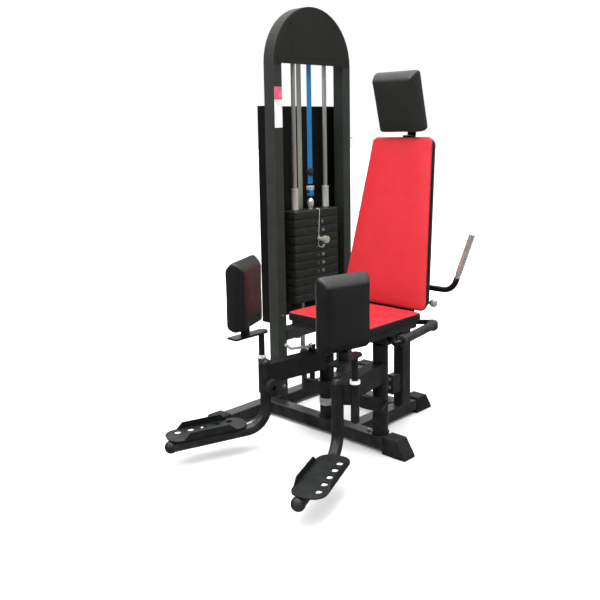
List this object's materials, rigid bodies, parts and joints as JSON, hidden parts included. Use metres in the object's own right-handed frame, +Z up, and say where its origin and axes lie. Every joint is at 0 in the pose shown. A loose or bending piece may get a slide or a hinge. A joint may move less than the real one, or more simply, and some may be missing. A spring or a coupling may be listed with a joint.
{
  "type": "hip abductor machine",
  "caption": "Seated gym machine whose two arms, with foot plates and thigh pads, swing outward against a pin-selected weight stack in a side tower.",
  "frame": {"origin": "centre of the machine's footprint box, on the floor", "axes": "+Z up; -Y is the way the seated user faces; +X is the user's left; the weight tower stands on the -X side"},
  "size_m": [0.9452, 1.4218, 1.769],
  "materials": {
    "grey_powder_coat": "satin, fine texture",
    "black_powder_coat": "satin",
    "cast_plate": "painted, slightly rough",
    "chrome": "polished",
    "bare_steel": "dull plated",
    "grey_rubber": "matt",
    "white_nylon": "matt",
    "blue_belt": "woven and coated",
    "red_vinyl": "fine grain",
    "black_vinyl": "fine grain, soft sheen",
    "black_board": "black stained board"
  },
  "bodies": {
    "frame": {"base_frame": "grey_powder_coat", "tower_frame": "grey_powder_coat", "boot_side_front": "grey_rubber", "boot_side_rear": "grey_rubber", "boot_cross_front": "grey_rubber", "boot_centre_rear": "grey_rubber", "arch_cover": "grey_powder_coat", "rear_shroud": "black_powder_coat", "guide_rod_front": "chrome", "guide_rod_rear": "chrome", "stack_buffer_front": "grey_rubber", "stack_buffer_rear": "grey_rubber", "belt_return": "blue_belt", "pivot_post_left": "grey_powder_coat", "pivot_post_right": "grey_powder_coat", "seat_frame": "grey_powder_coat", "seat_cushion": "red_vinyl", "seat_board": "black_board", "side_handle_left": "black_powder_coat", "side_handle_right": "black_powder_coat", "handle_grip_left": "grey_rubber", "handle_grip_right": "grey_rubber", "weight_plate_04": "cast_plate", "weight_plate_05": "cast_plate", "weight_plate_06": "cast_plate", "weight_plate_07": "cast_plate", "weight_plate_08": "cast_plate", "weight_plate_09": "cast_plate", "weight_plate_10": "cast_plate"},
    "lifted_stack": {"head_plate": "cast_plate", "weight_plate_01": "cast_plate", "weight_plate_02": "cast_plate", "weight_plate_03": "cast_plate", "pin_lanyard": "bare_steel", "belt_clamp": "bare_steel", "belt_stop": "grey_rubber", "belt_front": "blue_belt"},
    "stack_pin": {"selector_pin": "chrome"},
    "upper_pulley": {"top_pulley": "bare_steel"},
    "lower_pulley": {"low_pulley": "bare_steel"},
    "left_arm": {"swing_arm_left": "grey_powder_coat", "cam_left": "grey_powder_coat", "foot_plate_left": "bare_steel", "rod_bush_left": "white_nylon"},
    "right_arm": {"swing_arm_right": "grey_powder_coat", "cam_right": "grey_powder_coat", "foot_plate_right": "bare_steel", "rod_bush_right": "white_nylon", "arm_bumper": "grey_rubber"},
    "left_pad": {"pad_post_left": "grey_powder_coat", "thigh_pad_left": "black_vinyl"},
    "right_pad": {"pad_post_right": "grey_powder_coat", "thigh_pad_right": "black_vinyl"},
    "range_thumb": {"range_lever": "chrome"},
    "backrest": {"backrest_frame": "black_powder_coat", "backrest_cushion": "red_vinyl", "backrest_board": "black_board", "headrest_pad": "black_vinyl"},
    "side_lever": {"hand_lever": "chrome"},
    "tilt_plunger": {"tilt_pull_pin": "chrome"}
  },
  "joints": [
    {"name": "left_arm_swing", "type": "hinge", "parent": "frame", "child": "left_arm", "pos_m": [0.21372, -0.02413, 0.25], "axis": [0, 0, 1], "range_deg": [0, 24]},
    {"name": "right_arm_swing", "type": "hinge", "parent": "frame", "child": "right_arm", "pos_m": [-0.06628, -0.02413, 0.25], "axis": [0, 0, 1], "range_deg": [-24, 0]},
    {"name": "stack_lift", "type": "slide", "parent": "frame", "child": "lifted_stack", "axis": [0, 0, 1], "range_m": [0, 0.15], "deforming": ["belt_front"]},
    {"name": "top_pulley_spin", "type": "hinge", "parent": "frame", "child": "upper_pulley", "pos_m": [-0.43103, 0.24787, 1.64], "axis": [0, -1, 0], "range_deg": [0, 270]},
    {"name": "low_pulley_spin", "type": "hinge", "parent": "frame", "child": "lower_pulley", "pos_m": [-0.43103, 0.24787, 0.19], "axis": [0, -1, 0], "range_deg": [0, 270]},
    {"name": "selector_pin_slide", "type": "slide", "parent": "lifted_stack", "child": "stack_pin", "axis": [1, 0, 0], "range_m": [0, 0.07]},
    {"name": "left_pad_swivel", "type": "hinge", "parent": "left_arm", "child": "left_pad", "pos_m": [0.31272, -0.29613, 0.3], "axis": [0, 0, 1], "range_deg": [-20, 20]},
    {"name": "right_pad_swivel", "type": "hinge", "parent": "right_arm", "child": "right_pad", "pos_m": [-0.16528, -0.29613, 0.3], "axis": [0, 0, 1], "range_deg": [-20, 20]},
    {"name": "range_lever_lift", "type": "hinge", "parent": "right_arm", "child": "range_thumb", "pos_m": [-0.08278, -0.09413, 0.372], "axis": [-1, 0, 0], "range_deg": [0, 20]},
    {"name": "backrest_tilt", "type": "hinge", "parent": "frame", "child": "backrest", "pos_m": [0.07372, 0.25587, 0.5], "axis": [-1, 0, 0], "range_deg": [0, 15]},
    {"name": "side_lever_pull", "type": "hinge", "parent": "backrest", "child": "side_lever", "pos_m": [0.07372, 0.27087, 0.597], "axis": [1, 0, 0], "range_deg": [0, 20]},
    {"name": "tilt_plunger_pull", "type": "slide", "parent": "frame", "child": "tilt_plunger", "axis": [1, 0, 0], "range_m": [0, 0.012], "stiffness_N_per_m": 500, "springref_m": -0.004}
  ],
  "couplings": [
    {"joint": "right_arm_swing", "follows": "left_arm_swing", "ratio": -1},
    {"joint": "stack_lift", "follows": "left_arm_swing", "m_per_rad": 0.35},
    {"joint": "top_pulley_spin", "follows": "left_arm_swing", "ratio": 11.024},
    {"joint": "low_pulley_spin", "follows": "left_arm_swing", "ratio": 11.024}
  ]
}
